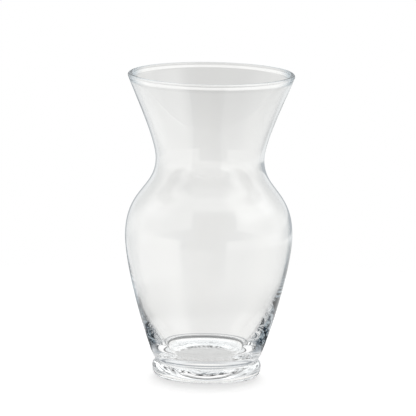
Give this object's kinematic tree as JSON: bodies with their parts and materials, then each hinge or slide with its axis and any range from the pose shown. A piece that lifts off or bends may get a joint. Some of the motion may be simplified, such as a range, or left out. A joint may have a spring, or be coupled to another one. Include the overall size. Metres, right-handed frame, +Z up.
{
  "type": "flower vase",
  "caption": "Clear glass flower vase: flared mouth with a rounded rim, narrow waist, full belly and a heavy round foot to stand on. Holds cut stems in water.",
  "frame": {"origin": "on the vase's axis, in the plane that the foot stands on", "axes": "+Z up along the vase's axis, from the foot to the mouth; +X and +Y are any two square directions, because the vase is round"},
  "size_m": [0.1078, 0.1078, 0.197],
  "materials": {
    "bowl_glass": "clear, fire-polished",
    "foot_glass": "clear, pressed"
  },
  "bodies": {
    "root": {"bowl": "bowl_glass", "foot": "foot_glass"}
  },
  "joints": []
}
